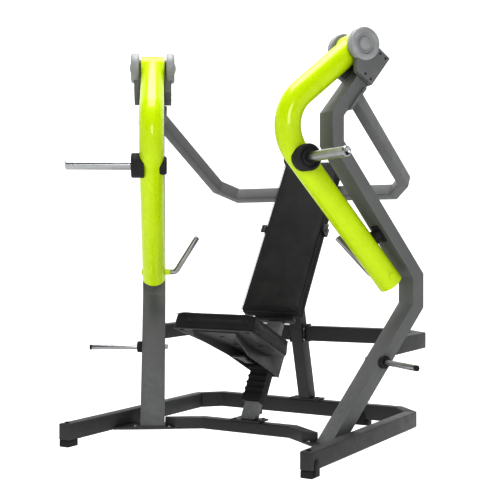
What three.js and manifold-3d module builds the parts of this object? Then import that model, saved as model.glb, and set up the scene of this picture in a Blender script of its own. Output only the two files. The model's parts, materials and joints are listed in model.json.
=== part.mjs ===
// Plate-loaded incline chest press with two independent, converging press arms.
// Millimetres, +Z up, +Y towards the back of the machine, +X towards its left-hand user side,
// floor at z = 0. The machine is symmetrical about the plane x = 0.
import * as THREE from "three";
import { mergeVertices } from "three/addons/utils/BufferGeometryUtils.js";
import Module from "manifold-3d";

const GAP = 0.3; // clearance between pieces that touch
const ORIGIN_Y = -63.17; // puts the origin under the middle of the machine

// Base: side rails and rear crossbar of one box section, a lower front crossbar
const RAIL_IN = 548.6, RAIL_OUT = 603.1, RAIL_FRONT = -558, RAIL_LOW = 27, RAIL_TOP = 98.7;
const RAIL_BACK_IN = 478.4, RAIL_BACK_OUT = 497.8; // ends of the mitre into the rear corner
const REAR_BAR_FRONT = 557, REAR_BAR_BACK = 610, REAR_BEND_IN = 478.7, REAR_BEND_OUT = 491.1;
const FRONT_BAR_FRONT = -27.6, FRONT_BAR_DEPTH = 54.5, FRONT_BAR_TOP = 76.6;
const PLATE_TOP = 36; // low plates that the uprights stand on
const FOOT_LONG = 66, FOOT_WIDE = 50, FOOT_TAB_TOP = 68, REAR_FOOT_X = 300;

// Side frames: each lies in an upright plane turned outwards by SPLAY
const SPLAY = THREE.MathUtils.degToRad(34.36);
const FRAME_X = 511; // where that plane meets y = 0, under the arm's pivot
const POST_HALF = 55, POST_DEPTH = 52;
const SLANT = THREE.MathUtils.degToRad(35.6), HEAD_SLANT = THREE.MathUtils.degToRad(37.7);
const KNEE_Z = [607, 718, 1266, 1403], BACK_U = 263, FRONT_U = -129;
const HEAD_LENGTH = 312; // front edge of the post's slanted head
const PIVOT_Z = 1679;

// Pivot head: two side plates, round caps and the shaft through the arm
const EAR_THICK = 30.7, CAP_RADIUS = 68.8, CAP_IN = 63, CAP_OUT = 101, SHAFT_RADIUS = 15;

// Press arm: a round tube bent once, in the side frame's plane
const ARM_RADIUS = 54, ARM_BEND = 176, BARREL_HALF = 54.4;
const ARM_CORNER = [-380.5, 1363]; // where the two straight runs would cross
const ARM_LOW_DIR = [0.6455, -0.7638], ARM_LOW_LENGTH = 877;
const HORN = { u: -254, z: 1207.5, radius: 20.8, end: 377, collar: 55, collarEnd: 90 };
const HORN_CAP = { radius: 41, end: 67 };
const SOCKET = { u: 158, z: 725.5, radius: 14, out: 58, in: 80 };
const GRIP_TIP = [-206.4, 45, 889.4], GRIP_RADIUS = 12.7;

// Storage pegs and rubber stops on the posts
const PEG = { u: 112, z: 369, radius: 12.2, in: 69, end: 293, cap: 303, collar: 26.5, collarEnd: 78 };
const STOP = { z: 905, radius: 30, foot: 38, footThick: 8 };

// Upper rear brace: a U in a plane that falls towards the back
const BRACE_TILT = THREE.MathUtils.degToRad(30.1), BRACE_Z = 1518.6;
const BRACE_X = 487.4, BRACE_BEND_X = 420.4, BRACE_Y = [576.3, 642.4], BRACE_THICK = 48, BRACE_HIGH = 60;

// Middle brace, from the back column round to each post
const MID_LOW = 394.5, MID_HIGH = 464.5, MID_DEPTH = 54;
const MID_PATH = [[38.6, 512], [500, 565], [633, 445], [633, 20]];

// Back column, inclined beam and the seat's rack on its front
const COLUMN_HALF = 30, COLUMN_DEPTH = 70, COLUMN_LEAN = 0.2611, COLUMN_Y = 583.5, COLUMN_Z = 100.7;
const BEAM_HALF = 36, BEAM_DEPTH = 40, BEAM_LEAN = THREE.MathUtils.degToRad(31);
const BEAM_Y = 19, BEAM_FOOT = 85.3, FLANGE_THICK = 8;
const RACK_HALF = 46, RACK_FRONT = -29, RACK_LOW = 74, RACK_HIGH = 365, RACK_BLOCK = 35;
const RIB = 8, RIB_LOW = 125, RIB_PITCH = 30, RIB_COUNT = 8;

// Back pad, tilted back
const PAD_LEAN = THREE.MathUtils.degToRad(31.7), PAD_Y = 188, PAD_Z = 550;
const PAD_HALF = 156, PAD_LONG = 852, PAD_THICK = 60, SHEET = 5;
const TAB_LOW = 443, TAB_HIGH = 483, TAB_REACH = 179; // bracket round the back pad's sides

// Seat, tilted up and wider towards its front, and the carriage it rides on
const SEAT_TILT = THREE.MathUtils.degToRad(20.15), SEAT_Y = -302.6, SEAT_Z = 509.1;
const SEAT_HALF = 203, SEAT_REAR_HALF = 153, SEAT_LONG = 430, SEAT_THICK = 75, PAN_THICK = 4;
const PAN_SLOTS = [[-161, 29], [161, 29], [-112, 242], [112, 242]], ROOF_SLOTS = [[0, 100], [0, 220]];
const CARRIAGE_WALL = [[110.5, -290], [51, -77], [51, 270]]; // middle of one side wall, in plan
const CARRIAGE_SIDE = [[-275, 493.8], [-268, 469], [-77, 374], [191, 250], [259, 363],
  [150, 410], [106, 356], [98, 356.9]];
const LATCH = { up: 292, back: -48, pin: 6, width: 20 }; // pivot, from the beam's foot

const wasm = await Module();
wasm.setup();

function toSolid(geometry) {
  const g = (geometry.index ? geometry.toNonIndexed() : geometry.clone());
  g.deleteAttribute("normal");
  g.deleteAttribute("uv");
  const merged = mergeVertices(g, 1e-3);
  return new wasm.Manifold(new wasm.Mesh({
    numProp: 3,
    vertProperties: merged.attributes.position.array,
    triVerts: new Uint32Array(merged.index.array),
  }));
}

function toGeometry(solid) {
  const mesh = solid.getMesh();
  const g = new THREE.BufferGeometry();
  g.setAttribute("position", new THREE.BufferAttribute(new Float32Array(mesh.vertProperties), 3));
  g.setIndex(new THREE.BufferAttribute(new Uint32Array(mesh.triVerts), 1));
  return g.toNonIndexed();
}

const join = (first, ...rest) =>
  toGeometry(rest.reduce((solid, g) => solid.add(toSolid(g)), toSolid(first)));
const cut = (first, ...rest) =>
  toGeometry(rest.reduce((solid, g) => solid.subtract(toSolid(g)), toSolid(first)));
const mirrored = (g) => toGeometry(toSolid(g).mirror([1, 0, 0]));
const common = (a, b) => toGeometry(toSolid(a).intersect(toSolid(b)));

// A polygon pushed along its normal. Plan outlines are (x, y), side outlines (y, z).
function prism(points, length) {
  const shape = new THREE.Shape(points.map(([x, y]) => new THREE.Vector2(x, y)));
  return new THREE.ExtrudeGeometry(shape, { depth: length, bevelEnabled: false });
}
const fromPlan = (points, low, high) => prism(points, high - low).translate(0, 0, low);
const turned = new THREE.Matrix4().makeBasis(
  new THREE.Vector3(0, 1, 0), new THREE.Vector3(0, 0, 1), new THREE.Vector3(1, 0, 0));
const fromSide = (points, left, right) =>
  prism(points, right - left).applyMatrix4(turned).translate(left, 0, 0);
const box = (x0, x1, y0, y1, z0, z1) => fromPlan([[x0, y0], [x1, y0], [x1, y1], [x0, y1]], z0, z1);

// A round bar between two points.
function bar(from, to, radius, sides = 24) {
  const a = new THREE.Vector3(...from), b = new THREE.Vector3(...to);
  const along = new THREE.Vector3().subVectors(b, a);
  const turn = new THREE.Quaternion().setFromUnitVectors(
    new THREE.Vector3(0, 1, 0), along.clone().normalize());
  return new THREE.CylinderGeometry(radius, radius, along.length(), sides)
    .applyQuaternion(turn).translate(...a.add(b).multiplyScalar(0.5).toArray());
}

// A turned profile of (radius, distance) pairs, its axis laid along x.
function turnedAlongX(profile, sides = 32) {
  const points = profile.map(([r, d]) => new THREE.Vector2(r, d));
  return new THREE.LatheGeometry(points, sides).rotateZ(-Math.PI / 2);
}

// A path moved sideways to its left, its corners kept sharp.
function moved(path, by, closed = false) {
  const p = path.map(([x, y]) => new THREE.Vector2(x, y)), n = p.length;
  const normal = (i) => {
    const d = p[(i + 1) % n].clone().sub(p[i]).normalize();
    return new THREE.Vector2(-d.y, d.x);
  };
  return p.map((q, i) => {
    const before = normal(closed ? (i + n - 1) % n : Math.max(i - 1, 0));
    const after = normal(closed ? i : Math.min(i, n - 2));
    const mid = before.clone().add(after).normalize();
    return q.clone().addScaledVector(mid, by / mid.dot(after)).toArray();
  });
}
const strip = (path, near, far) => [...moved(path, near), ...moved(path, far).reverse()];
const grown = (outline, by) => moved(outline, -by, true); // for an anticlockwise outline

// Places where a swept section stands, each a point and a direction.
function bentPath(start, corner, end, radius, steps) {
  const [a, c, b] = [start, corner, end].map((p) => new THREE.Vector3(...p));
  const into = c.clone().sub(a).normalize(), out = b.clone().sub(c).normalize();
  const turn = into.angleTo(out);
  const axis = new THREE.Vector3().crossVectors(into, out).normalize();
  const from = c.clone().addScaledVector(into, -radius * Math.tan(turn / 2));
  const centre = new THREE.Vector3().crossVectors(axis, into).multiplyScalar(radius).add(from);
  const stations = [[a, into]];
  for (let i = 0; i <= steps; i++) {
    const angle = (turn * i) / steps;
    const point = from.clone().sub(centre).applyAxisAngle(axis, angle).add(centre);
    stations.push([point, into.clone().applyAxisAngle(axis, angle)]);
  }
  return [...stations, [b, out]];
}

class Sweep extends THREE.Curve {
  constructor(stations) {
    super();
    this.stations = stations;
  }
  at(t) {
    return this.stations[Math.round(t * (this.stations.length - 1))];
  }
  getPointAt(t) {
    return this.at(t)[0].clone();
  }
  getTangentAt(t) {
    return this.at(t)[1].clone();
  }
}

// A round bar swept along a bent path.
function sweptBar(stations, radius, sides = 28) {
  const ring = Array.from({ length: sides }, (_, i) => {
    const angle = (2 * Math.PI * i) / sides;
    return new THREE.Vector2(radius * Math.cos(angle), radius * Math.sin(angle));
  });
  return new THREE.ExtrudeGeometry(new THREE.Shape(ring),
    { steps: stations.length - 1, extrudePath: new Sweep(stations) });
}

const metal = (color, roughness) => new THREE.MeshStandardMaterial({ color, roughness, metalness: 0.6 });
const plastic = (color, roughness) => new THREE.MeshStandardMaterial({ color, roughness, metalness: 0 });
const framePaint = metal(0x5d5f60, 0.45);
const basePaint = metal(0x37393a, 0.5);
const armPaint = new THREE.MeshStandardMaterial({ color: 0xb4e600, roughness: 0.22, metalness: 0.1 });
const chrome = new THREE.MeshStandardMaterial({ color: 0xd6d8dc, roughness: 0.12, metalness: 1 });
const lightPaint = metal(0x8d8f90, 0.4);
const steel = metal(0x9a9c9e, 0.35);
const darkSteel = metal(0x2a2b2c, 0.5);
const rubber = plastic(0x1b1b1b, 0.75);
const capPlastic = plastic(0x4b4d4f, 0.45);
const leather = plastic(0x1f2021, 0.6);

const machine = new THREE.Group();
machine.name = "incline_chest_press";

function add(name, geometry, material) {
  const mesh = new THREE.Mesh(geometry, material);
  mesh.name = name;
  machine.add(mesh);
  return mesh;
}

// Side-frame pieces are drawn with x outwards across the frame and y backwards along it.
const toFrame = new THREE.Matrix4().makeTranslation(FRAME_X, 0, 0)
  .multiply(new THREE.Matrix4().makeRotationZ(-SPLAY));
const mirror = new THREE.Matrix4().makeScale(-1, 1, 1);

function addPair(name, geometry, material, inFrame = true) {
  const right = geometry.clone();
  if (inFrame) right.applyMatrix4(toFrame);
  add(name + "_r", right, material);
  add(name + "_l", right.clone(), material).applyMatrix4(mirror);
}

// A side-frame point (across, along) in plan.
const planPoint = (across, along) => [
  FRAME_X + along * Math.sin(SPLAY) + across * Math.cos(SPLAY),
  along * Math.cos(SPLAY) - across * Math.sin(SPLAY),
];

// ---- base ----

function makeBase() {
  const rail = [[RAIL_IN, RAIL_FRONT], [RAIL_OUT, RAIL_FRONT],
    [RAIL_OUT, RAIL_BACK_OUT], [RAIL_IN, RAIL_BACK_IN]];
  addPair("base_rail", fromPlan(rail, RAIL_LOW, RAIL_TOP), basePaint, false);
  const right = [[REAR_BEND_IN, REAR_BAR_FRONT], [RAIL_IN, RAIL_BACK_IN + GAP],
    [RAIL_OUT, RAIL_BACK_OUT + GAP], [REAR_BEND_OUT, REAR_BAR_BACK]];
  const left = right.map(([x, y]) => [-x, y]).reverse();
  add("rear_crossbar", fromPlan([...right, ...left], RAIL_LOW, RAIL_TOP), basePaint);
}

const BAR_U = -188; // front face of the front crossbar's angled arms, and of the foot plates
const BAR_TIP = [[-104, -188], [-58, -142], [-58, -133.5]]; // chamfered end beside the post

function makeFrontCrossbar() {
  const bendX = (u, y) => FRAME_X + (u - y * Math.cos(SPLAY)) / Math.sin(SPLAY);
  const back = FRONT_BAR_FRONT + FRONT_BAR_DEPTH;
  const right = [[bendX(BAR_U, FRONT_BAR_FRONT), FRONT_BAR_FRONT],
    ...BAR_TIP.map(([across, along]) => planPoint(across, along)),
    [bendX(BAR_U + FRONT_BAR_DEPTH, back), back]];
  const left = right.map(([x, y]) => [-x, y]).reverse();
  add("front_crossbar", fromPlan([...right, ...left], RAIL_LOW, FRONT_BAR_TOP), basePaint);
}

function makeFootPlates() {
  const outer = (u) => (RAIL_IN - GAP - FRAME_X - u * Math.sin(SPLAY)) / Math.cos(SPLAY);
  const back = -50, step = 2 * GAP;
  const outline = [[BAR_TIP[0][0] + step, BAR_U], [outer(BAR_U), BAR_U], [outer(back), back],
    [BAR_TIP[1][0] + step, back], [BAR_TIP[1][0] + step, BAR_TIP[1][1]]];
  addPair("post_foot_plate", fromPlan(outline, RAIL_LOW, PLATE_TOP), basePaint);
}

// A moulded foot: a block under the tube and an arched tab screwed to its side.
function footGeometry(tabFace) {
  const arch = new THREE.Shape();
  arch.moveTo(-19, 4);
  arch.lineTo(19, 4);
  arch.lineTo(19, FOOT_TAB_TOP - 19);
  arch.absarc(0, FOOT_TAB_TOP - 19, 19, 0, Math.PI, false);
  const tab = new THREE.ExtrudeGeometry(arch, { depth: 4, bevelEnabled: false, curveSegments: 6 })
    .applyMatrix4(turned).translate(tabFace, 0, 0);
  const low = FOOT_WIDE / 2 - 3, long = FOOT_LONG / 2 - 3;
  const outline = [[-low, -long - 3], [low, -long - 3], [low + 3, -long], [low + 3, long],
    [low, long + 3], [-low, long + 3], [-low - 3, long], [-low - 3, -long]];
  const lip = box(0, tabFace + 4, -19, 19, 4, RAIL_LOW - GAP);
  return join(fromPlan(outline, 0, RAIL_LOW - GAP), lip, tab);
}

function makeFeet() {
  const face = (RAIL_OUT - RAIL_IN) / 2 + GAP, mid = (RAIL_IN + RAIL_OUT) / 2;
  const front = footGeometry(face).translate(mid, RAIL_FRONT + FOOT_LONG / 2, 0);
  addPair("foot_front", front, rubber, false);
  const depth = (REAR_BAR_BACK - REAR_BAR_FRONT) / 2 + GAP;
  const back = footGeometry(depth).rotateZ(-Math.PI / 2)
    .translate(REAR_FOOT_X, (REAR_BAR_FRONT + REAR_BAR_BACK) / 2, 0);
  addPair("foot_rear", back, rubber, false);
}

// ---- side frames ----

const headDir = [Math.sin(HEAD_SLANT), Math.cos(HEAD_SLANT)];
const headBack = [Math.cos(HEAD_SLANT), -Math.sin(HEAD_SLANT)]; // square to the head, backwards
// A point of the head, by distance up it from the highest knee and distance back from its front.
const headPoint = (up, back) => [
  FRONT_U + up * headDir[0] + back * headBack[0],
  KNEE_Z[3] + up * headDir[1] + back * headBack[1],
];

function makePosts() {
  const step = POST_DEPTH * Math.tan(SLANT / 2), headStep = POST_DEPTH * Math.tan(HEAD_SLANT / 2);
  const foot = PLATE_TOP + GAP;
  const footU = shinFront(foot);
  const front = [[footU, foot], [BACK_U, KNEE_Z[0]], [BACK_U, KNEE_Z[1]],
    [FRONT_U, KNEE_Z[2]], [FRONT_U, KNEE_Z[3]], headPoint(HEAD_LENGTH, 0)];
  const back = [headPoint(HEAD_LENGTH, POST_DEPTH),
    [FRONT_U + POST_DEPTH, KNEE_Z[3] - headStep], [FRONT_U + POST_DEPTH, KNEE_Z[2] + step],
    [BACK_U + POST_DEPTH, KNEE_Z[1] + step], [BACK_U + POST_DEPTH, KNEE_Z[0] - step],
    [footU + POST_DEPTH / Math.cos(SLANT), foot]];
  const outline = [...front, ...back].reverse();
  const hole = bar([-99, PEG.u, PEG.z], [99, PEG.u, PEG.z], PEG.radius + GAP);
  addPair("post", cut(fromSide(outline, -POST_HALF, POST_HALF), hole), framePaint);
}

// The press arm's centre line, from the pivot round the bend to the handle end.
const armEnd = [ARM_CORNER[0] + ARM_LOW_LENGTH * ARM_LOW_DIR[0],
  ARM_CORNER[1] + ARM_LOW_LENGTH * ARM_LOW_DIR[1]];
const armPath = bentPath([0, 0, PIVOT_Z], [0, ...ARM_CORNER], [0, ...armEnd], ARM_BEND, 9);
const armSpace = sweptBar(armPath, ARM_RADIUS + GAP); // room that pieces fixed to the arm leave

// The lowest slanted run of a post: distance along the frame at a height, on its front face.
const shinFront = (z) => BACK_U - (KNEE_Z[0] - z) * Math.tan(SLANT);
const thighFront = (z) => BACK_U - (z - KNEE_Z[1]) * Math.tan(SLANT);

function makeStops() {
  const profile = [[0, 0], [27, 0], [27, STOP.footThick], [STOP.radius, STOP.footThick + 7],
    [26.5, STOP.footThick + 15], [STOP.radius, STOP.footThick + 24], [STOP.radius, 44], [0, 44]];
  const plate = box(0, STOP.footThick, -25, 25, -STOP.foot, STOP.foot);
  const outwards = new THREE.Matrix4().makeRotationX(SLANT)
    .multiply(new THREE.Matrix4().makeRotationZ(-Math.PI / 2));
  const stop = join(turnedAlongX(profile, 28), plate).applyMatrix4(outwards)
    .translate(0, thighFront(STOP.z) - GAP * Math.cos(SLANT), STOP.z - GAP * Math.sin(SLANT));
  addPair("arm_stop", cut(stop, armSpace), rubber);
}

function makeStoragePegs() {
  const place = (g) => g.translate(0, PEG.u, PEG.z);
  addPair("storage_peg", bar([-PEG.in, PEG.u, PEG.z], [PEG.end, PEG.u, PEG.z], PEG.radius), chrome);
  const r = PEG.radius + GAP, near = POST_HALF + GAP;
  const collar = [[r, near], [PEG.collar, near], [PEG.collar, PEG.collarEnd - 4],
    [PEG.collar - 4, PEG.collarEnd], [r, PEG.collarEnd], [r, near]];
  addPair("storage_peg_collar", place(turnedAlongX(collar)), rubber);
  const cap = [[0, PEG.end + GAP], [PEG.radius, PEG.end + GAP], [PEG.radius, PEG.cap - 2],
    [PEG.radius - 2, PEG.cap], [0, PEG.cap]];
  addPair("storage_peg_cap", place(turnedAlongX(cap, 24)), rubber);
}

// ---- pivot heads ----

const EAR = [[20, 1529], [36, 1512], [125, 1628], [20, 1709], [-20, 1715], [-33, 1700], [-33, 1566]];

function makePivots() {
  const near = POST_HALF + GAP, far = near + EAR_THICK;
  const bore = bar([-far - 9, 0, PIVOT_Z], [far + 9, 0, PIVOT_Z], SHAFT_RADIUS + GAP, 24);
  const ear = cut(fromSide(EAR, near, far), bore);
  addPair("pivot_plate_outer", ear, framePaint);
  addPair("pivot_plate_inner", mirrored(ear), framePaint);
  addPair("pivot_shaft", bar([-far, 0, PIVOT_Z], [far, 0, PIVOT_Z], SHAFT_RADIUS, 24), steel);
  const profile = [[0, CAP_IN], [CAP_RADIUS - 3, CAP_IN], [CAP_RADIUS, CAP_IN + 4],
    [CAP_RADIUS, CAP_OUT - 8], [CAP_RADIUS - 3, CAP_OUT - 2], [CAP_RADIUS - 9, CAP_OUT],
    [44, CAP_OUT], [39, CAP_OUT - 10], [31, CAP_OUT - 10], [29, CAP_OUT - 5], [24, CAP_OUT],
    [16, CAP_OUT + 4], [8, CAP_OUT + 6], [0, CAP_OUT + 6.5]];
  const round = turnedAlongX(profile, 36).translate(0, 0, PIVOT_Z);
  const cap = cut(round, fromSide(grown(EAR, GAP), near - 1, far + GAP));
  addPair("pivot_cap_outer", cap, capPlastic);
  addPair("pivot_cap_inner", mirrored(cap), capPlastic);
}

// ---- press arms ----

function makeArms() {
  const barrel = bar([-BARREL_HALF, 0, PIVOT_Z], [BARREL_HALF, 0, PIVOT_Z], ARM_RADIUS + 0.5, 32);
  const socket = bar([-SOCKET.in, SOCKET.u, SOCKET.z], [SOCKET.out, SOCKET.u, SOCKET.z],
    SOCKET.radius);
  const bore = bar([-99, 0, PIVOT_Z], [99, 0, PIVOT_Z], SHAFT_RADIUS + GAP, 24);
  addPair("arm", cut(join(sweptBar(armPath, ARM_RADIUS), barrel, socket), bore), armPaint);
}

function makeHandles() {
  const start = [-SOCKET.in - GAP, SOCKET.u, SOCKET.z];
  const corner = [-SOCKET.in - 26, SOCKET.u, SOCKET.z];
  addPair("handle", sweptBar(bentPath(start, corner, GRIP_TIP, 24, 5), GRIP_RADIUS, 20), steel);
}

function makeHorns() {
  const place = (g) => g.translate(0, HORN.u, HORN.z);
  const horn = [[0, 40], [HORN.radius, 40], [HORN.radius, HORN.end - 5],
    [HORN.radius - 4, HORN.end], [HORN.radius - 10, HORN.end],
    [HORN.radius - 11, HORN.end - 2], [0, HORN.end - 2]];
  addPair("weight_horn", cut(place(turnedAlongX(horn)), armSpace), chrome);
  const r = HORN.radius + GAP, R = HORN.collar, end = HORN.collarEnd;
  const collar = [[r, 33], [R, 33], [R, end - 6], [R - 2, end - 2], [R - 7, end], [R - 13, end],
    [R - 15, end - 5], [R - 19, end - 5], [R - 21, end], [r, end], [r, 33]];
  addPair("horn_collar", cut(place(turnedAlongX(collar, 30)), armSpace), rubber);
  const cap = [[0, -HORN_CAP.end], [HORN_CAP.radius - 6, -HORN_CAP.end],
    [HORN_CAP.radius, -HORN_CAP.end + 6], [HORN_CAP.radius, -35], [0, -35]];
  addPair("horn_inner_cap", cut(place(turnedAlongX(cap, 28)), armSpace), rubber);
}

// ---- upper rear brace ----

function makeUpperBrace() {
  const along = (y) => y / Math.cos(BRACE_TILT);
  const path = [[BRACE_X, -100], [BRACE_X, along(BRACE_Y[0])], [BRACE_BEND_X, along(BRACE_Y[1])]];
  const inner = [...path, ...path.map(([x, y]) => [-x, y]).reverse()];
  const whole = prism(strip(inner, 0, -BRACE_THICK), BRACE_HIGH).translate(0, 0, -BRACE_HIGH)
    .rotateX(-BRACE_TILT).translate(0, 0, BRACE_Z);
  const plate = { back: -POST_DEPTH - GAP, thick: 11, low: 58, mid: 172, high: 216 };
  const far = plate.back - plate.thick; // measured square to the head, backwards is negative here
  const slab = (low, high, near, away, half) => fromSide([headPoint(low, -near),
    headPoint(high, -near), headPoint(high, -away), headPoint(low, -away)], -half, half);
  addPair("brace_end_plate", join(slab(plate.low, plate.mid, plate.back, far, 65),
    slab(plate.mid - 1, plate.high, plate.back, far, 54)), framePaint);
  const room = slab(-60, 420, 200, far - GAP, 150).applyMatrix4(toFrame);
  add("upper_rear_brace", cut(whole, room, mirrored(room)), framePaint);
}

// ---- middle brace ----

function makeMidBrace() {
  const half = MID_DEPTH / 2, low = MID_LOW - 9, high = MID_HIGH + 9;
  const tube = fromPlan(strip(MID_PATH, -half, half), MID_LOW, MID_HIGH);
  const back = (z) => shinFront(z) + (POST_DEPTH + GAP) / Math.cos(SLANT);
  const room = fromSide([[-600, low], [back(low), low], [back(high), high], [-600, high]],
    -200, 200).applyMatrix4(toFrame);
  const x = COLUMN_HALF + GAP, flange = box(x, x + FLANGE_THICK, 470, 552, low, high);
  addPair("mid_brace", join(cut(tube, room), flange), basePaint, false);
}

// ---- centre line ----

const beamSpace = (g) => g.rotateX(-BEAM_LEAN).translate(0, BEAM_Y, BEAM_FOOT);
const padSpace = (g) => g.rotateX(-PAD_LEAN).translate(0, PAD_Y, PAD_Z);
const seatSpace = (g) => g.rotateX(-SEAT_TILT).translate(0, SEAT_Y, SEAT_Z);

// The beam's side outline, from its foot to the underside of the upper brace.
function beamOutline(spare = 0) {
  const half = (BEAM_DEPTH / 2 + spare) / Math.cos(BEAM_LEAN), lean = Math.tan(BEAM_LEAN);
  const fall = Math.tan(BRACE_TILT), under = BRACE_Z - (BRACE_HIGH + GAP) / Math.cos(BRACE_TILT);
  const top = (y) => {
    const z = (under - fall * (y - lean * BEAM_FOOT)) / (1 + fall * lean);
    return [y + lean * (z - BEAM_FOOT), z];
  };
  return [[BEAM_Y - half, BEAM_FOOT], [BEAM_Y + half, BEAM_FOOT],
    top(BEAM_Y + half), top(BEAM_Y - half)];
}

function makeCentreLine() {
  const flangeTop = BEAM_FOOT - GAP, columnFoot = RAIL_TOP + GAP + FLANGE_THICK;
  add("beam_flange", box(-75, 75, -27, 58, FRONT_BAR_TOP + GAP, flangeTop), basePaint);
  add("inclined_beam", fromSide(beamOutline(), -BEAM_HALF, BEAM_HALF), lightPaint);
  add("column_flange", box(-80, 80, 546, 618, RAIL_TOP + GAP, columnFoot), basePaint);
  const half = COLUMN_DEPTH / 2 * Math.hypot(1, COLUMN_LEAN), foot = columnFoot + GAP;
  const beamBack = BEAM_Y + (BEAM_DEPTH / 2 + GAP) / Math.cos(BEAM_LEAN);
  const at = (offset, z) => [COLUMN_Y + offset - COLUMN_LEAN * (z - COLUMN_Z), z];
  const top = (offset) => at(offset, (COLUMN_Y + offset + COLUMN_LEAN * COLUMN_Z - beamBack
    + BEAM_FOOT * Math.tan(BEAM_LEAN)) / (COLUMN_LEAN + Math.tan(BEAM_LEAN)));
  add("back_column", fromSide([at(-half, foot), at(half, foot), top(half), top(-half)],
    -COLUMN_HALF, COLUMN_HALF), basePaint);
}

function makeRack() {
  const inside = BEAM_HALF + GAP, back = BEAM_DEPTH / 2, front = -back - GAP;
  const channel = fromPlan([[-RACK_HALF, RACK_FRONT], [RACK_HALF, RACK_FRONT], [RACK_HALF, back],
    [inside, back], [inside, front], [-inside, front], [-inside, back], [-RACK_HALF, back]],
    RACK_LOW, RACK_HIGH);
  const block = box(-RACK_HALF, RACK_HALF, RACK_FRONT - RIB, RACK_FRONT + 1, RACK_LOW,
    RACK_LOW + RACK_BLOCK);
  const ribs = Array.from({ length: RIB_COUNT }, (_, i) => {
    const z = RIB_LOW + RIB_PITCH * i;
    return fromSide([[RACK_FRONT + 1, z], [RACK_FRONT + 1, z + 14], [RACK_FRONT - RIB + 1, z + 12],
      [RACK_FRONT - RIB, z + 10], [RACK_FRONT - RIB, z + 2], [RACK_FRONT - RIB + 1, z]],
      -RACK_HALF, RACK_HALF);
  });
  add("seat_rack", beamSpace(join(channel, block, ...ribs)), rubber);
}

// ---- back pad ----

function roundedOutline(halfWidth, length, radius, steps = 4) {
  const corners = [[halfWidth - radius, radius, -0.5], [halfWidth - radius, length - radius, 0],
    [radius - halfWidth, length - radius, 0.5], [radius - halfWidth, radius, 1]];
  return corners.flatMap(([x, y, start]) => Array.from({ length: steps + 1 }, (_, i) => {
    const angle = Math.PI * (start + (0.5 * i) / steps);
    return [x + radius * Math.cos(angle), y + radius * Math.sin(angle)];
  }));
}

// A cushion block with softened edges. It lies on z = 0, its front edge on y = 0.
function cushion(halfWidth, length, thick, radius, edge) {
  const outline = roundedOutline(halfWidth - edge, length - 2 * edge, radius - edge);
  const shape = new THREE.Shape(outline.map(([x, y]) => new THREE.Vector2(x, y + edge)));
  return new THREE.ExtrudeGeometry(shape, { depth: thick - 2 * edge, bevelThickness: edge,
    bevelSize: edge, bevelSegments: 2 }).translate(0, 0, edge);
}

function makeBackPad() {
  const upright = cushion(PAD_HALF, PAD_LONG, PAD_THICK, 12, 6).rotateX(Math.PI / 2)
    .translate(0, PAD_THICK, 0);
  add("back_pad", padSpace(upright), leather);
  const beam = fromSide(beamOutline(GAP), -BEAM_HALF - GAP, BEAM_HALF + GAP);
  const near = PAD_THICK + GAP, sheetBack = near + 4;
  const sheet = box(-146, 146, near, sheetBack, 8, TAB_LOW - 20);
  const lip = box(-100, 100, near, near + 34, -10, 12);
  const spacer = box(-30, 30, near + 1, near + 20, 20, TAB_LOW - 24);
  add("back_pad_frame", cut(join(...[sheet, lip, spacer].map(padSpace)), beam), basePaint);
  const inside = PAD_HALF + GAP, outside = inside + SHEET;
  const arm = [[inside, sheetBack], [inside, 14], [TAB_REACH, 14], [TAB_REACH, 14 + SHEET],
    [outside, 14 + SHEET], [outside, sheetBack]];
  const bracket = [box(-outside, outside, near, sheetBack, TAB_LOW, TAB_HIGH),
    box(-30, 30, near + 1, near + 20, TAB_LOW, TAB_HIGH), fromPlan(arm, TAB_LOW, TAB_HIGH),
    fromPlan(arm.map(([x, y]) => [-x, y]).reverse(), TAB_LOW, TAB_HIGH)];
  add("back_pad_bracket", cut(join(...bracket.map(padSpace)), beam), basePaint);
}

// ---- seat ----

// The seat narrows evenly from its front edge to its rear.
function tapered(geometry) {
  const p = geometry.getAttribute("position"), narrowing = 1 - SEAT_REAR_HALF / SEAT_HALF;
  for (let i = 0; i < p.count; i++)
    p.setX(i, p.getX(i) * (1 - (narrowing * p.getY(i)) / SEAT_LONG));
  return geometry;
}

// Cutters for the oblong slots under the seat.
const slotCutters = (places) => places.map(([x, y]) =>
  fromPlan(roundedOutline(14, 14, 6.5, 2).map(([a, b]) => [a + x, b + y - 7]), -12, 1));

function makeSeat() {
  const pad = tapered(cushion(SEAT_HALF, SEAT_LONG, SEAT_THICK, 16, 9));
  add("seat_pad", seatSpace(pad), leather);
  const outline = roundedOutline(SEAT_HALF - 8, SEAT_LONG - 20, 14).map(([x, y]) => [x, y + 6]);
  const sheet = tapered(fromPlan(outline, -PAN_THICK - GAP, -GAP));
  add("seat_pan", seatSpace(cut(sheet, ...slotCutters(PAN_SLOTS))), darkSteel);
}

function makeCarriage() {
  const wall = common(fromPlan(strip(CARRIAGE_WALL, -SHEET / 2, SHEET / 2), 200, 520),
    fromSide(CARRIAGE_SIDE, 0, 200));
  const roof = -PAN_THICK - 2 * GAP;
  const sheet = fromPlan([[-109, 31], [109, 31], [52, 240], [52, 395], [-52, 395], [-52, 240]],
    roof - PAN_THICK, roof);
  const top = seatSpace(cut(sheet, ...slotCutters(ROOF_SLOTS)));
  const rear = beamSpace(box(-52, 52, 57.5, 62, 232, 356));
  const rearGlide = beamSpace(box(-52, 52, BEAM_DEPTH / 2 + 1.5, 58, 334, 354));
  const frontGlide = beamSpace(box(-52, 52, RACK_FRONT - RIB - 14, RACK_FRONT - RIB - 1.5, 222, 240));
  const walls = join(wall, mirrored(wall), top, rear, rearGlide, frontGlide);
  add("seat_carriage", walls, darkSteel);
}

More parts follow.
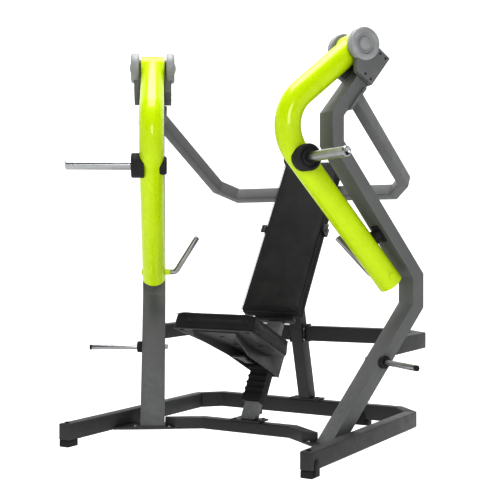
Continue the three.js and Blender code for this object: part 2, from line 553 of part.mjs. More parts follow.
function makeLatch() {
  const inside = CARRIAGE_WALL[1][0] - SHEET / 2 - 0.5;
  const pin = beamSpace(bar([-inside, LATCH.back, LATCH.up], [inside, LATCH.back, LATCH.up],
    LATCH.pin, 20));
  const tip = RACK_FRONT - RIB + 2.3;
  const pawl = beamSpace(fromSide([[tip, 261], [tip, 270], [LATCH.back + 6, LATCH.up],
    [LATCH.back - 6, LATCH.up], [LATCH.back - 2, 264]], -LATCH.width, LATCH.width));
  const leverPath = [[128.2, 360.3], [20, 333], [-82, 372]];
  const lever = fromSide(strip(leverPath, -3, 3), -LATCH.width, LATCH.width);
  const paddle = fromSide(strip([[-60, 363.6], [-82, 372]], -4, 4), -33, 33);
  add("seat_latch", join(pin, pawl, lever, paddle), darkSteel);
}

makeBase();
makeFrontCrossbar();
makeFootPlates();
makeFeet();
makePosts();
makeStops();
makeStoragePegs();
makePivots();
makeArms();
makeHandles();
makeHorns();
makeUpperBrace();
makeMidBrace();
makeCentreLine();
makeRack();
makeBackPad();
makeSeat();
makeCarriage();
makeLatch();

machine.position.y = ORIGIN_Y;
export default machine;
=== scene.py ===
"""Looks for the plate-loaded incline chest press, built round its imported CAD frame. Metres, +Z up."""
import math
from collections import namedtuple

import bmesh
import bpy
from mathutils import Matrix, Vector
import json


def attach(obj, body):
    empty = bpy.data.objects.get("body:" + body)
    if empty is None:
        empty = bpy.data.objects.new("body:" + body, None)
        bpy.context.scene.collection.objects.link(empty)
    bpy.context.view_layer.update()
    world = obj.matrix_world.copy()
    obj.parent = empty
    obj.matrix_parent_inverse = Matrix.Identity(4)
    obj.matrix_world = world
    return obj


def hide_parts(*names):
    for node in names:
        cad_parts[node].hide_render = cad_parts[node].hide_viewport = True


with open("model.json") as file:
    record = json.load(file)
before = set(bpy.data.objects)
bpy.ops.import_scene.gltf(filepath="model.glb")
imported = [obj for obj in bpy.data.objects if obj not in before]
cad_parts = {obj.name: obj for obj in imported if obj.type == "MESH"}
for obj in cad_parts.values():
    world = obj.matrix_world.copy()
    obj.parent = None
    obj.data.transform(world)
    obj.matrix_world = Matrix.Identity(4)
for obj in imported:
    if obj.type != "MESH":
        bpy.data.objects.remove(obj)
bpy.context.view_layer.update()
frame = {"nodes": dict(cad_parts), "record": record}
BODY_OF = {n: b for b, nodes in frame["record"]["behaviour"]["bodies"].items() for n in nodes}
SLOT_OF = {s["node"]: s["material_slot"] for s in frame["record"]["subparts"]}

# ---- the machine's measures ----

ORIGIN_Y = -0.06317                 # the machine's own y = 0, under the arm pivots, in the row frame
SIDES = ((1, "r"), (-1, "l"))
UP = Vector((0, 0, 1))

FRAME_X = 0.511                     # from the middle of the machine to each arm pivot
SPLAY = math.radians(34.36)         # how far each side frame is turned outwards
HEAD_SLANT = math.radians(37.7)     # how far the head of a post leans back
HEAD_START = (-0.129, 1.403)        # where a head begins on its front, along the side frame and up
HEAD_DEPTH = 0.0633                 # from a head's front to the face the brace is bolted to

PIVOT_Z = 1.679
ARM_RADIUS = 0.054
ARM_CORNERS = ((0, 0, PIVOT_Z), (0, -0.3805, 1.363), (0, 0.1856, 0.6931))
ARM_BEND = 0.176                    # radius of the bend between the arm's two runs
SOCKET_ALONG, SOCKET_Z = 0.158, 0.7255
BARREL_PROFILE = [(0, -0.0544), (0.052, -0.0544), (0.0545, -0.052),
                  (0.0545, 0.052), (0.052, 0.0544), (0, 0.0544)]
SOCKET_PROFILE = [(0, -0.080), (0.0125, -0.080), (0.014, -0.0785),
                  (0.014, 0.0565), (0.0125, 0.058), (0, 0.058)]

# How much the edges of each CAD node are rounded, by its name without its side.
EDGE_ROUNDING = {
    "base_rail": 0.006, "rear_crossbar": 0.006, "front_crossbar": 0.006, "post": 0.005,
    "upper_rear_brace": 0.006, "mid_brace": 0.006, "back_column": 0.006, "inclined_beam": 0.005,
    "post_foot_plate": 0.0015, "brace_end_plate": 0.002, "beam_flange": 0.0015,
    "column_flange": 0.0015, "pivot_plate_outer": 0.004, "pivot_plate_inner": 0.004,
    "back_pad_frame": 0.001, "back_pad_bracket": 0.0012, "seat_rack": 0.0012,
    "seat_pan": 0.0008, "seat_carriage": 0.0009, "foot_front": 0.002, "foot_rear": 0.002,
    "arm_stop": 0.0, "storage_peg": 0.0015, "storage_peg_collar": 0.001,
    "storage_peg_cap": 0.0, "pivot_cap_outer": 0.001, "pivot_cap_inner": 0.001,
    "pivot_shaft": 0.001, "seat_latch": 0.001, "weight_horn": 0.0, "horn_collar": 0.001,
    "horn_inner_cap": 0.001, "handle": 0.002}
WIDE_ROUNDING = 0.003               # roundings above this get one more segment
ROUNDED_FROM = math.radians(28)     # edges sharper than this are rounded


# ---- frames of reference ----

def frame_matrix(side):
    """Side-frame space (across outwards, along backwards, up) to the row frame. side is 1 or -1."""
    m = Matrix.Translation((FRAME_X, ORIGIN_Y, 0)) @ Matrix.Rotation(-SPLAY, 4, "Z")
    return Matrix.Scale(side, 4, (1, 0, 0)) @ m


def leaning(y, z, degrees):
    """Space whose z axis leans back by an angle, starting at (y, z) of the machine."""
    return Matrix.Translation((0, y + ORIGIN_Y, z)) @ Matrix.Rotation(-math.radians(degrees), 4, "X")


def machine_point(side, x, y, z):
    """A point of the machine, on one side of it, in the row frame."""
    return Vector((side * x, y + ORIGIN_Y, z))


PAD_SPACE = leaning(0.188, 0.550, 31.7)
SEAT_SPACE = leaning(-0.3026, 0.5091, 20.15)


# ---- materials ----

class Nodes:
    """The node tree of a material or a world, with short calls to add and join nodes."""

    def __init__(self, owner, shader):
        owner.use_nodes = True
        self.owner, self.tree = owner, owner.node_tree
        self.shader = self.tree.nodes[shader]
        self.coords = self.tree.nodes.new("ShaderNodeTexCoord").outputs

    def plug(self, socket, value):
        """Joins a socket to another one, or gives it a plain value."""
        if isinstance(value, bpy.types.NodeSocket):
            self.tree.links.new(value, socket)
        else:
            socket.default_value = value

    def plug_all(self, node, inputs):
        for key, value in inputs.items():
            self.plug(node.inputs[key.replace("_", " ")], value)
        return node

    def add(self, kind, **inputs):
        return self.plug_all(self.tree.nodes.new(kind), inputs)

    def to_shader(self, **inputs):
        self.plug_all(self.shader, inputs)

    def noise(self, scale, detail=4.0, roughness=0.55, stretch=(1, 1, 1)):
        at = self.add("ShaderNodeMapping", Vector=self.coords["Object"], Scale=stretch).outputs[0]
        made = self.add("ShaderNodeTexNoise", Vector=at, Scale=scale, Detail=detail,
                        Roughness=roughness)
        return made.outputs["Fac"]

    def cells(self, scale):
        made = self.add("ShaderNodeTexVoronoi", Vector=self.coords["Object"], Scale=scale)
        return made.outputs["Distance"]

    def spread(self, value, low, high, to_low=0.0, to_high=1.0):
        """Maps the span from low to high onto the span from to_low to to_high, and clamps it."""
        return self.add("ShaderNodeMapRange", Value=value, From_Min=low, From_Max=high,
                        To_Min=to_low, To_Max=to_high).outputs[0]

    def blend(self, amount, a, b):
        node = self.tree.nodes.new("ShaderNodeMix")
        node.data_type = "RGBA"
        for socket, value in ((0, amount), (6, a), (7, b)):      # the share and two colours
            self.plug(node.inputs[socket], value)
        return node.outputs[2]

    def times(self, a, b):
        node = self.tree.nodes.new("ShaderNodeMath")
        node.operation = "MULTIPLY"
        self.plug(node.inputs[0], a)
        self.plug(node.inputs[1], b)
        return node.outputs[0]

    def bump(self, height, strength, distance, **under):
        return self.add("ShaderNodeBump", Height=height, Strength=strength, Distance=distance,
                        **under).outputs[0]


def new_material(name):
    return Nodes(bpy.data.materials.new(name), "Principled BSDF")


def colour(r, g, b):
    return (r, g, b, 1.0)


def grey(level):
    return colour(level, level, level)


def steel_tint(level):
    return colour(level, level * 1.01, level * 1.03)


def shade(c, by):
    return colour(c[0] * by, c[1] * by, c[2] * by)


def painted(name, base, rough, grain=0.06, worn=None, gloss=0.0):
    """Powder coat or paint: fine orange peel, soft blotches, and slightly lighter rubbed edges."""
    n = new_material(name)
    blotch = n.spread(n.noise(scale=7.0, detail=5.0), 0.3, 0.7)
    tone = n.blend(blotch, shade(base, 0.96), shade(base, 1.04))
    edges = n.spread(n.add("ShaderNodeNewGeometry").outputs["Pointiness"], 0.52, 0.6)
    patches = n.spread(n.noise(scale=38.0, detail=6.0), 0.45, 0.7)
    tone = n.blend(n.times(edges, patches), tone, worn or shade(base, 1.5))
    sheen = n.noise(scale=22.0, detail=5.0)
    peel = n.noise(scale=900.0, detail=2.0)
    n.to_shader(Base_Color=tone, Normal=n.bump(peel, strength=grain, distance=0.0006),
                Roughness=n.spread(sheen, 0.3, 0.7, rough - 0.05, rough + 0.06),
                Coat_Weight=gloss, Coat_Roughness=0.06, Specular_IOR_Level=0.22)
    return n.owner


def plated(name, base, rough, stretch):
    """Chrome or brushed steel: faint lines along the way it was finished, and dull patches."""
    n = new_material(name)
    lines = n.noise(scale=160.0, detail=3.0, stretch=stretch)
    smear = n.noise(scale=9.0, detail=6.0)
    n.to_shader(Base_Color=n.blend(n.spread(smear, 0.35, 0.7), base, shade(base, 0.82)),
                Metallic=1.0, Normal=n.bump(lines, strength=0.05, distance=0.0004),
                Roughness=n.spread(smear, 0.3, 0.75, rough, rough + 0.14))
    return n.owner


def moulded(name, base, rough, grain):
    """Rubber, plastic or thread, with a fine grain and dusty patches."""
    n = new_material(name)
    dust = n.spread(n.noise(scale=14.0, detail=6.0), 0.45, 0.75)
    sheen = n.noise(scale=30.0)
    n.to_shader(Base_Color=n.blend(dust, base, shade(base, 1.35)),
                Normal=n.bump(n.cells(1100.0), strength=grain, distance=0.0006),
                Roughness=n.spread(sheen, 0.3, 0.7, rough - 0.06, rough + 0.08),
                Specular_IOR_Level=0.3)
    return n.owner


def leather(name, base):
    """Leatherette: a pebbled grain of two sizes, soft creases and a faint sheen."""
    n = new_material(name)
    mottle = n.spread(n.noise(scale=11.0, detail=5.0), 0.35, 0.7)
    creases = n.noise(scale=18.0, detail=7.0, roughness=0.65, stretch=(1.0, 2.4, 1.0))
    normal = n.bump(creases, strength=0.10, distance=0.003)
    normal = n.bump(n.cells(420.0), strength=0.30, distance=0.0007, Normal=normal)
    normal = n.bump(n.cells(900.0), strength=0.15, distance=0.0004, Normal=normal)
    n.to_shader(Base_Color=n.blend(mottle, shade(base, 0.85), shade(base, 1.25)), Normal=normal,
                Roughness=n.spread(n.noise(scale=60.0, detail=3.0), 0.3, 0.7, 0.42, 0.56),
                Sheen_Weight=0.02, Sheen_Roughness=0.5, Specular_IOR_Level=0.14)
    return n.owner


# The last two are no CAD slots: they are for pieces that only the looks have.
RECIPES = {
    "grey_paint": (painted, {"base": colour(0.140, 0.142, 0.143), "rough": 0.42,
                             "worn": colour(0.20, 0.205, 0.21)}),
    "charcoal_paint": (painted, {"base": colour(0.050, 0.0505, 0.051), "rough": 0.46,
                                 "worn": colour(0.07, 0.07, 0.072)}),
    "light_grey_paint": (painted, {"base": colour(0.17, 0.172, 0.174), "rough": 0.42}),
    "lime_paint": (painted, {"base": colour(0.45, 0.60, 0.004), "rough": 0.28, "grain": 0.02,
                             "worn": colour(0.52, 0.68, 0.01), "gloss": 0.3}),
    "chrome": (plated, {"base": steel_tint(0.37), "rough": 0.24, "stretch": (1, 1, 1)}),
    "steel": (plated, {"base": steel_tint(0.34), "rough": 0.26, "stretch": (1, 1, 6)}),
    "black_rubber": (moulded, {"base": colour(0.022, 0.022, 0.023), "rough": 0.62, "grain": 0.12}),
    "grey_plastic": (moulded, {"base": colour(0.250, 0.253, 0.256), "rough": 0.40, "grain": 0.10}),
    "black_leatherette": (leather, {"base": colour(0.023, 0.0232, 0.0234)}),
    "dark_bolt": (plated, {"base": steel_tint(0.07), "rough": 0.34, "stretch": (1, 1, 1)}),
    "stitching": (moulded, {"base": colour(0.03, 0.03, 0.032), "rough": 0.7, "grain": 0.3})}
MATERIALS = {name: recipe(name, **how) for name, (recipe, how) in RECIPES.items()}


# ---- building pieces ----

def put_in_scene(name, data):
    made = bpy.data.objects.new(name, data)
    bpy.context.scene.collection.objects.link(made)
    return made


def link(name, mesh, material, body, smooth_to=35):
    """A finished piece: smoothed up to an angle in degrees, painted, and riding on its body."""
    mesh.materials.clear()
    mesh.materials.append(MATERIALS[material])
    mesh.shade_smooth()
    mesh.set_sharp_from_angle(angle=math.radians(smooth_to))
    piece = put_in_scene(name, mesh)
    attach(piece, body)
    return piece


def mesh_from(name, build):
    """A mesh filled by build(bm)."""
    bm = bmesh.new()
    build(bm)
    bmesh.ops.recalc_face_normals(bm, faces=bm.faces)
    mesh = bpy.data.meshes.new(name)
    bm.to_mesh(mesh)
    bm.free()
    return mesh


def round_edges(bm, edges, width, segments, clamp=False):
    bmesh.ops.bevel(bm, geom=edges, offset=width, offset_type="OFFSET", segments=segments,
                    profile=0.5, affect="EDGES", clamp_overlap=clamp)


def refined(node, width):
    """A copy of a CAD node with merged vertices and rounded edges, which stands for it."""
    mesh = frame["nodes"][node].data.copy()
    bm = bmesh.new()
    bm.from_mesh(mesh)
    bmesh.ops.remove_doubles(bm, verts=bm.verts, dist=2e-5)
    bmesh.ops.dissolve_limit(bm, angle_limit=math.radians(1), verts=bm.verts, edges=bm.edges)
    if width:
        edges = [e for e in bm.edges
                 if len(e.link_faces) == 2 and e.calc_face_angle() > ROUNDED_FROM]
        round_edges(bm, edges, width, 3 if width > WIDE_ROUNDING else 2, clamp=True)
    bmesh.ops.recalc_face_normals(bm, faces=bm.faces)
    bm.to_mesh(mesh)
    bm.free()
    piece = link(node + "_skin", mesh, SLOT_OF[node], BODY_OF[node])
    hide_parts(node)
    return piece


def circle(centre, radius, u, v, sides):
    """Points round a centre, in the plane of the unit vectors u and v."""
    return [centre + radius * (math.cos(a) * u + math.sin(a) * v)
            for a in (2 * math.pi * i / sides for i in range(sides))]


def add_rings(bm, rings, closed=False):
    """Skins rings of points, one of which may be a single point. Closed joins the last to the first."""
    rings = [[bm.verts.new(p) for p in ring] for ring in rings]
    for low, high in zip(rings, rings[1:] + rings[:1] if closed else rings[1:]):
        sides = max(len(low), len(high))
        for i in range(sides):
            j = (i + 1) % sides
            corners = (low[i % len(low)], low[j % len(low)], high[j % len(high)], high[i % len(high)])
            bm.faces.new(list(dict.fromkeys(corners)))
    return rings


def turned(profile, sides, place):
    """A mesh turned about z from (radius, height) pairs that start and end on the axis."""
    def build(bm):
        x, y = Vector((1, 0, 0)), Vector((0, 1, 0))
        add_rings(bm, [circle(z * UP, r, x, y, sides if r else 1) for r, z in profile])
    mesh = mesh_from("turned", build)
    mesh.transform(place)
    return mesh


def to_axis(at, direction):
    """Moves a piece built along z so that it stands at a point, along a direction."""
    turn = Vector(direction).normalized().to_track_quat("Z", "Y").to_matrix()
    return Matrix.Translation(at) @ turn.to_4x4()


def swept(stations, radius, sides, rounding):
    """A round bar swept through (point, direction) stations that all lie on one smooth path."""
    def build(bm):
        rings = []
        across = stations[0][1].normalized().orthogonal()
        for point, direction in stations:
            direction = direction.normalized()
            across = (across - across.dot(direction) * direction).normalized()
            rings.append(circle(point, radius, across, direction.cross(across), sides))
        rings = add_rings(bm, rings)
        ends = [bm.faces.new(rings[0]), bm.faces.new(rings[-1])]
        round_edges(bm, [e for f in ends for e in f.edges], rounding, 3)
    return mesh_from("swept", build)


def bent_path(start, corner, end, radius, steps):
    """Stations along two straight runs joined by an arc of that radius."""
    start, corner, end = Vector(start), Vector(corner), Vector(end)
    into, out = (corner - start).normalized(), (end - corner).normalized()
    turn, axis = into.angle(out), into.cross(out).normalized()
    begin = corner - into * radius * math.tan(turn / 2)
    centre = begin + axis.cross(into) * radius
    stations = [(start, into)]
    for i in range(steps + 1):
        spin = Matrix.Rotation(turn * i / steps, 3, axis)
        stations.append((centre + spin @ (begin - centre), spin @ into))
    return stations + [(end, out)]


def ring_mesh(centre, axis, radius, thick, around, section):
    """A ring of round section."""
    def build(bm):
        rings = []
        for i in range(around):
            a = 2 * math.pi * i / around
            outwards = Vector((math.cos(a), math.sin(a), 0))
            rings.append(circle(radius * outwards, thick, outwards, UP, section))
        add_rings(bm, rings, closed=True)
    mesh = mesh_from("ring", build)
    mesh.transform(to_axis(centre, axis))
    return mesh


def merged(*meshes):
    bm = bmesh.new()
    for mesh in meshes:
        bm.from_mesh(mesh)
    joined = bpy.data.meshes.new("joined")
    bm.to_mesh(joined)
    bm.free()
    return joined


# ---- frame and arms ----

def build_frame():
    for stem, width in EDGE_ROUNDING.items():
        for node in (stem, stem + "_r", stem + "_l"):
            if node in frame["nodes"]:
                refined(node, width)


def build_arms():
    """Smooth press arms: the bent tube, its pivot barrel, the handle socket and its weld bead."""
    for side, tag in SIDES:
        to = frame_matrix(side)
        turn = to.to_3x3()
        outwards = turn @ Vector((1, 0, 0))
        path = [(to @ p, turn @ d) for p, d in bent_path(*ARM_CORNERS, ARM_BEND, steps=28)]
        tube = swept(path, ARM_RADIUS, sides=64, rounding=0.003)
        barrel = turned(BARREL_PROFILE, 64, to_axis(to @ Vector((0, 0, PIVOT_Z)), outwards))
        socket_at = to @ Vector((0, SOCKET_ALONG, SOCKET_Z))
        socket = turned(SOCKET_PROFILE, 32, to_axis(socket_at, outwards))
        piece = link("press_arm_" + tag, merged(tube, barrel, socket), "lime_paint",
                     "press_arm_" + tag)
        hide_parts("arm_" + tag)
        bead = ring_mesh(to @ Vector((-0.0525, SOCKET_ALONG, SOCKET_Z)), outwards,
                         radius=0.0148, thick=0.0026, around=80, section=9)
        link("socket_weld_" + tag, bead, "lime_paint", "press_arm_" + tag)


# ---- fasteners ----

BOLT_SIDES = 24
BOLT_SINK = 0.0004                  # how far a bolt is let into the surface it stands on
DARK = {"material": "dark_bolt"}
SCREW = {"material": "dark_bolt", "washer": False}

EAR_SCREWS = ((0.078, 1.645), (0.103, 1.626), (0.006, 1.557), (0.031, 1.537))      # along, up
EAR_FACE = 0.0860                                                                  # across
FOOT_PLATE_BOLTS = ((-0.076, -0.168), (0.078, -0.150))                             # across, along
BRACE_BOLTS = ((-0.050, 0.075), (0.050, 0.075), (-0.042, 0.203), (0.042, 0.203))   # across, up the head
COLUMN_BOLT_Z, COLUMN_BOLT_Y = (0.405, 0.4535), (0.476, 0.546)
BEAM_FLANGE_BOLTS = (-0.014, 0.045)                                                # y
SEAT_PAN_SCREWS = ((0.161, 0.029), (0.112, 0.242))                                 # x, y of the seat
TAB_BOLTS = (0.455, 0.471)                                                         # up the back pad


def bolt(name, at, direction, size, body="frame", material="chrome", washer=True, domed=0.62):
    """A domed hex-socket bolt head, with or without a washer, standing on a surface."""
    r, h = size, size * domed
    foot = [(r * 1.55, 0), (r * 1.55, h * 0.22), (r * 1.02, h * 0.24)] if washer else [(r, 0)]
    profile = [(0, 0), *foot, (r, h * 0.5), (r * 0.9, h * 0.85), (r * 0.7, h),
               (r * 0.46, h), (r * 0.42, h * 0.45), (0, h * 0.45)]
    direction = Vector(direction).normalized()
    mesh = turned(profile, BOLT_SIDES, to_axis(at - direction * BOLT_SINK, direction))
    return link(name, mesh, material, body)


def head_point(up, back):
    """A point of a post's head, by distance up it and back from its front, as (along, height)."""
    s, c = math.sin(HEAD_SLANT), math.cos(HEAD_SLANT)
    return HEAD_START[0] + up * s + back * c, HEAD_START[1] + up * c - back * s


def build_fasteners():
    for side, tag in SIDES:
        to = frame_matrix(side)
        turn = to.to_3x3()
        outwards = turn @ Vector((1, 0, 0))
        back = turn @ Vector((0, math.cos(HEAD_SLANT), -math.sin(HEAD_SLANT)))
        for i, (along, z) in enumerate(EAR_SCREWS):
            for face, way in (("outer", 1), ("inner", -1)):
                bolt(f"ear_screw_{face}_{i}_{tag}", to @ Vector((way * EAR_FACE, along, z)),
                     outwards * way, 0.0056, domed=0.2, **SCREW)
        for i, (across, along) in enumerate(FOOT_PLATE_BOLTS):
            bolt(f"foot_plate_bolt_{i}_{tag}", to @ Vector((across, along, 0.036)), UP, 0.0095)
        for i, (across, up_head) in enumerate(BRACE_BOLTS):
            along, z = head_point(up_head, HEAD_DEPTH)
            bolt(f"brace_bolt_{i}_{tag}", to @ Vector((across, along, z)), back, 0.0085, **DARK)
        for i, z in enumerate(COLUMN_BOLT_Z):
            for j, y in enumerate(COLUMN_BOLT_Y):
                bolt(f"column_bolt_{i}{j}_{tag}", machine_point(side, 0.0383, y, z), (side, 0, 0),
                     0.0066)
        bolt(f"mid_brace_bolt_{tag}", machine_point(side, 0.560, 0.510, 0.4645), UP, 0.0085)
        for i, y in enumerate(BEAM_FLANGE_BOLTS):
            bolt(f"beam_flange_bolt_{i}_{tag}", machine_point(side, 0.056, y, 0.0849), UP, 0.0075,
                 **DARK)
        bolt(f"column_flange_bolt_{tag}", machine_point(side, 0.058, 0.582, 0.107), UP, 0.0085,
             **DARK)
        bolt(f"front_foot_screw_{tag}", machine_point(side, 0.6075, -0.525, 0.052), (side, 0, 0),
             0.0055, **SCREW)
        bolt(f"rear_foot_screw_{tag}", machine_point(side, 0.300, 0.5525, 0.052), (0, -1, 0),
             0.0055, **SCREW)
        for i, (x, y) in enumerate(SEAT_PAN_SCREWS):
            bolt(f"seat_pan_screw_{i}_{tag}", SEAT_SPACE @ Vector((side * x, y, -0.0043)),
                 SEAT_SPACE.to_3x3() @ Vector((0, 0, -1)), 0.006, body="seat", **SCREW)
        for up_pad in TAB_BOLTS:
            bolt(f"tab_bolt_{round(up_pad * 1000)}_{tag}",
                 PAD_SPACE @ Vector((side * 0.170, 0.0140, up_pad)),
                 PAD_SPACE.to_3x3() @ Vector((0, -1, 0)), 0.0035, **SCREW)
        bolt(f"rail_plug_{tag}", machine_point(side, 0.5758, -0.535, 0.0987), UP, 0.010,
             material="black_rubber", washer=False)


# ---- cushions ----

# half: half its width at the front edge; radius: of the corners of its outline; crown: how much
# higher the middle is than the edges; pull: how far its sides draw in between the corners; droop:
# how far the sides of its top roll down; narrow: the share of its width it loses towards the rear.
Cushion = namedtuple("Cushion", "half length thick radius crown pull droop narrow")
BACK = Cushion(half=0.156, length=0.852, thick=0.060, radius=0.012, crown=0.003, pull=0.0025,
               droop=0.0, narrow=0.0)
SEAT = Cushion(half=0.203, length=0.430, thick=0.075, radius=0.026, crown=0.003, pull=0.002,
               droop=0.008, narrow=1 - 0.153 / 0.203)

BLOCK_INSET, BLOCK_EDGE = 0.003, 0.007      # of the block that is blown up, inside the CAD solid
CLEAR = 0.0002                              # left free inside the CAD solid
VOXEL = 0.005
PRESSURE, CLOTH_FRAMES, MOST_SWELL = 3.5, 20, 0.004
BOARD_HEIGHT = 0.012                        # below this the cover is glued to a board
SIDE_BAND = 0.8                             # the sides draw in from this share of the way out
TOP_BAND = 0.6                              # the top is crowned from this share of the height
SEAM_LEVEL = 0.80                           # height of the seam, as a share of the thickness
GROOVE_WIDTH, GROOVE_DEPTH = 0.0022, 0.0016
CORD_RADIUS, CORD_STEP, CORD_INSET = 0.0010, 0.02, 0.0022


def rounded_outline(cushion, steps):
    half, length, radius = cushion.half, cushion.length, cushion.radius
    corners = ((half - radius, radius, -0.5), (half - radius, length - radius, 0.0),
               (radius - half, length - radius, 0.5), (radius - half, radius, 1.0))
    return [(x + radius * math.cos(math.pi * (start + 0.5 * i / steps)),
             y + radius * math.sin(math.pi * (start + 0.5 * i / steps)))
            for x, y, start in corners for i in range(steps + 1)]


def cushion_block(cushion):
    """A closed block with rounded edges, inside the cushion's CAD solid."""
    block = cushion._replace(half=cushion.half - BLOCK_INSET,
                             length=cushion.length - 2 * BLOCK_INSET,
                             thick=cushion.thick - BLOCK_INSET)
    outline = rounded_outline(block, 8)

    def build(bm):
        levels = add_rings(bm, [[(x, y, z) for x, y in outline] for z in (0.0, block.thick)])
        for level in levels:
            bm.faces.new(level)
        rims = [e for e in bm.edges if abs(e.verts[0].co.z - e.verts[1].co.z) < 1e-9]
        round_edges(bm, rims, BLOCK_EDGE, 3)
    mesh = mesh_from("cushion", build)
    mesh.transform(Matrix.Translation((0, BLOCK_INSET, 2 * CLEAR)))
    return mesh


def evaluated(piece):
    bpy.context.view_layer.update()
    graph = bpy.context.evaluated_depsgraph_get()
    return bpy.data.meshes.new_from_object(piece.evaluated_get(graph))


def swell(mesh):
    """The cover of a stuffed cushion: remeshed, blown up a little as cloth, each move capped."""
    piece = put_in_scene("swelling", mesh)
    remesh = piece.modifiers.new("remesh", "REMESH")
    remesh.mode, remesh.voxel_size = "VOXEL", VOXEL
    dense = evaluated(piece)
    piece.modifiers.clear()
    piece.data = dense
    rest = [v.co.copy() for v in dense.vertices]
    pinned = piece.vertex_groups.new(name="board")
    pinned.add([v.index for v in dense.vertices if v.co.z < BOARD_HEIGHT], 1.0, "REPLACE")
    cloth = piece.modifiers.new("cloth", "CLOTH")
    cloth.settings.use_pressure = True
    cloth.settings.uniform_pressure_force = PRESSURE
    cloth.settings.quality = 4
    cloth.settings.vertex_group_mass = "board"
    cloth.settings.effector_weights.gravity = 0
    cloth.point_cache.frame_start, cloth.point_cache.frame_end = 1, CLOTH_FRAMES
    for step in range(1, CLOTH_FRAMES + 1):
        bpy.context.scene.frame_set(step)
    dense = evaluated(piece)
    piece.modifiers.clear()
    bpy.context.scene.frame_set(1)
    for v, was in zip(dense.vertices, rest):
        move = v.co - was
        if move.length > MOST_SWELL:
            v.co = was + move * (MOST_SWELL / move.length)
    bpy.data.objects.remove(piece)
    return dense


def on_cushion(cushion, x, y):
    """A point as shares of the way out: -1 to 1 from side to side, and -1 to 1 front to rear."""
    return x / cushion.half, 2 * y / cushion.length - 1


def drawn_in(cushion, x, y):
    """How far a point near the sides moves in x and in y: most half way between the corners."""
    def move(towards, beside):
        past = max(0.0, abs(towards) - SIDE_BAND) / (1 - SIDE_BAND)
        return -math.copysign(cushion.pull * (1 - beside ** 4) * past, towards)
    across, along = on_cushion(cushion, x, y)
    return move(across, along), move(along, across)


def shape_cushion(mesh, cushion, seam):
    """Crowns the top, rolls its sides down, pulls the sides in and sinks the seam."""
    for v in mesh.vertices:
        x, y, z = v.co
        across, along = on_cushion(cushion, x, y)
        level = min(1.0, z / cushion.thick)
        if level > TOP_BAND:
            lift = cushion.crown * ((1 - across ** 4) * (1 - along ** 6) - 1)
            v.co.z += (lift - cushion.droop * across ** 12) * (level - TOP_BAND) / (1 - TOP_BAND)
        v.co += Vector((*drawn_in(cushion, x, y), 0))
        groove = math.exp(-((z - seam) / GROOVE_WIDTH) ** 2) * GROOVE_DEPTH
        out = Vector((across ** 7, along ** 7, 0))
        if out.length > 1e-4:
            v.co -= out.normalized() * groove * min(1.0, out.length * 1.5)


def seam_rim(name, cushion, seam, place, body):
    """A thin sewn cord round the cushion's side, where the top panel meets the border."""
    cord = cushion._replace(half=cushion.half - CORD_INSET, length=cushion.length - 2 * CORD_INSET,
                            radius=cushion.radius + 0.002)
    outline = rounded_outline(cord, 12)
    points = []
    for (x, y), (next_x, next_y) in zip(outline, outline[1:] + outline[:1]):
        steps = max(1, int(math.hypot(next_x - x, next_y - y) / CORD_STEP))
        for k in range(steps):
            px, py = x + (next_x - x) * k / steps, y + (next_y - y) * k / steps
            dx, dy = drawn_in(cord, px, py)
            px, py = px + dx, py + dy
            points.append(Vector((px * (1 - cord.narrow * py / cord.length), py, seam)))

    def build(bm):
        rings = []
        for i, p in enumerate(points):
            way = (points[(i + 1) % len(points)] - points[i - 1]).normalized()
            rings.append(circle(p, CORD_RADIUS, way.cross(UP), UP, 8))
        add_rings(bm, rings, closed=True)
    mesh = mesh_from("seam", build)
    mesh.transform(place)
    return link(name, mesh, "stitching", body, smooth_to=60)


def build_cushion(node, name, cushion, place, body):
    """One cushion with its sewn rim, in the space its CAD solid holds."""
    seam = cushion.thick * SEAM_LEVEL
    mesh = swell(cushion_block(cushion))
    shape_cushion(mesh, cushion, seam)
    mesh.transform(Matrix.Translation((0, 0, CLEAR)))
    lowest = min(v.co.z for v in mesh.vertices)
    highest = max(v.co.z for v in mesh.vertices)
    if highest > cushion.thick or lowest < 0:
        squeeze = min(1.0, (cushion.thick - CLEAR) / (highest - lowest))
        mesh.transform(Matrix.Translation((0, 0, -lowest)))
        mesh.transform(Matrix.Scale(squeeze, 4, (0, 0, 1)))
    for v in mesh.vertices:
        v.co.x *= 1 - cushion.narrow * v.co.y / cushion.length
    mesh.transform(place)
    piece = link(name, mesh, "black_leatherette", body, smooth_to=70)
    smooth = piece.modifiers.new("subdivision", "SUBSURF")
    smooth.levels = smooth.render_levels = 1
    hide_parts(node)
    seam_rim(name + "_seam", cushion, seam, place, body)


def build_cushions():
    standing = Matrix.Translation((0, BACK.thick, 0)) @ Matrix.Rotation(math.pi / 2, 4, "X")
    build_cushion("back_pad", "back_cushion", BACK, PAD_SPACE @ standing, "frame")
    build_cushion("seat_pad", "seat_cushion", SEAT, SEAT_SPACE, "seat")


# ---- scene ----

CAMERA_AT = (2.273, -3.882 + ORIGIN_Y, 0.863)       # fitted to the photograph, as are the next two
CAMERA_YAW, CAMERA_PITCH = math.radians(30.2), math.radians(-0.37)
LENS, SENSOR = 73.26, 36.0                          # millimetres

FLOOR_REACH = 80.0
FLOOR_DROP = 0.0005                                 # how far the floor is below the feet
COVE_START, COVE_RADIUS, COVE_STEPS = 6.0, 3.0, 12  # the curve between the floor and the backdrop
BACKDROP_TOP = 14.0
LAMP_TARGET = Vector((0, 0, 0.8))
LAMPS = (("key", (3.4, -4.4, 2.8), 1.8, 92.0),      # name, place, side in metres, watts
         ("strip", (-3.6, -3.4, 2.8), 2.2, 8.0),
         ("top", (-0.3, -0.2, 4.6), 2.6, 145.0),
         ("rim", (-2.4, 3.4, 3.4), 2.2, 5.0))


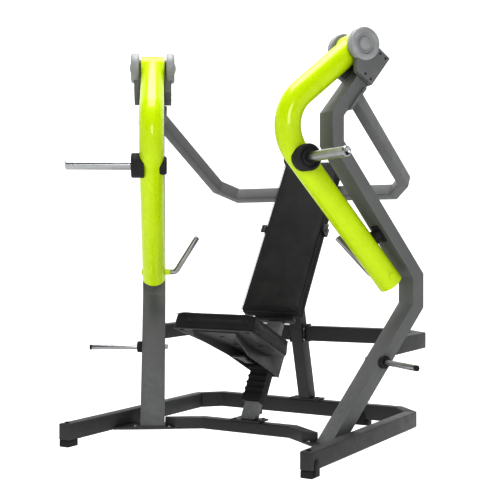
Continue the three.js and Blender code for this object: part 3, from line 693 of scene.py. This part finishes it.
def build_floor():
    """A pale floor that rises into a backdrop, square to the camera."""
    n = new_material("studio_floor")
    mottle = n.spread(n.noise(scale=3.0), 0.3, 0.7)
    n.to_shader(Base_Color=n.blend(mottle, grey(0.38), grey(0.42)), Roughness=0.6,
                Normal=n.bump(n.noise(scale=220.0), strength=0.02, distance=0.0005),
                Emission_Color=grey(1), Emission_Strength=0.72)
    turns = [math.pi / 2 * i / COVE_STEPS for i in range(COVE_STEPS + 1)]
    cove = [(COVE_START + COVE_RADIUS * math.sin(a), COVE_RADIUS * (1 - math.cos(a))) for a in turns]
    profile = [(-FLOOR_REACH, 0.0), *cove, (COVE_START + COVE_RADIUS, BACKDROP_TOP)]

    def build(bm):
        rows = [[bm.verts.new((x, y, z)) for x in (-FLOOR_REACH, FLOOR_REACH)] for y, z in profile]
        for low, high in zip(rows, rows[1:]):
            bm.faces.new((low[0], low[1], high[1], high[0]))
    mesh = mesh_from("studio_floor", build)
    mesh.materials.append(n.owner)
    mesh.shade_smooth()
    floor_piece = put_in_scene("studio_floor", mesh)
    floor_piece.matrix_world = (Matrix.Rotation(CAMERA_YAW, 4, "Z")
                                @ Matrix.Translation((0, 0, -FLOOR_DROP)))


def build_lights():
    """Soft lamps, and a sky that is pale near the horizon and dim overhead."""
    for name, at, size, power in LAMPS:
        light = bpy.data.lights.new(name, "AREA")
        light.size, light.energy = size, power
        lamp = put_in_scene(name, light)
        lamp.location = at
        lamp.rotation_euler = (LAMP_TARGET - Vector(at)).to_track_quat("-Z", "Y").to_euler()
    sky = Nodes(bpy.data.worlds.new("studio"), "Background")
    height = sky.add("ShaderNodeSeparateXYZ", Vector=sky.coords["Generated"]).outputs["Z"]
    sky.to_shader(Color=grey(1), Strength=sky.spread(height, 0.18, 0.28, 0.85, 0.03))
    bpy.context.scene.world = sky.owner


def build_camera():
    bpy.context.scene.view_settings.view_transform = "Standard"
    bpy.context.scene.view_settings.look = "High Contrast"
    lens = bpy.data.cameras.new("camera")
    lens.lens, lens.sensor_width = LENS, SENSOR
    camera = put_in_scene("camera", lens)
    camera.location = CAMERA_AT
    camera.rotation_euler = (math.pi / 2 + CAMERA_PITCH, 0, CAMERA_YAW)
    bpy.context.scene.camera = camera


build_frame()
build_arms()
build_fasteners()
build_cushions()
build_floor()
build_lights()
build_camera()
